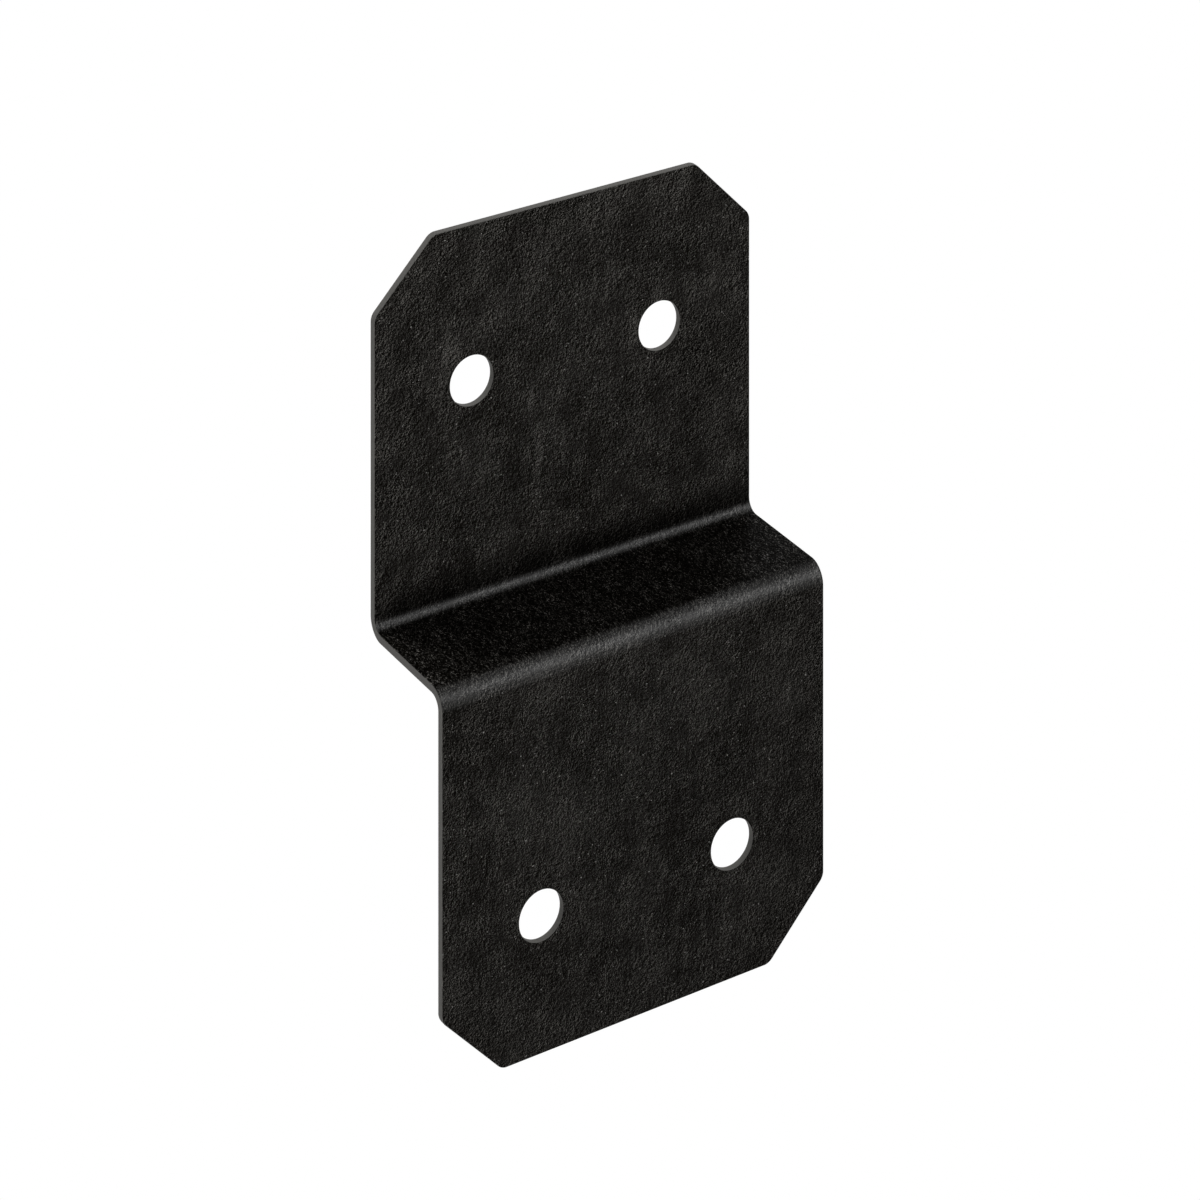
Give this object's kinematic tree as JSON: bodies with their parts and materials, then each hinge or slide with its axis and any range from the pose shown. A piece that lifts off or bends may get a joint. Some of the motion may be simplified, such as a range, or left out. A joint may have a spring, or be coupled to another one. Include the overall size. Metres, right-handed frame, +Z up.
{
  "type": "deck joist tie",
  "caption": "Black coated steel plate folded into a step, with clipped corners and bolt holes, that ties the side of a deck joist to the face of a post.",
  "frame": {"origin": "midway between the two upper holes, on the back face of the upper plate where it meets the post", "axes": "+Y from the front into the post, +Z up along the post, +X across the plates to the right as seen from the front"},
  "size_m": [0.127, 0.0404, 0.2152],
  "materials": {
    "powder_coat": "fine-textured matt black powder coat on steel"
  },
  "bodies": {
    "root": {"tie_plate": "powder_coat"}
  },
  "joints": []
}
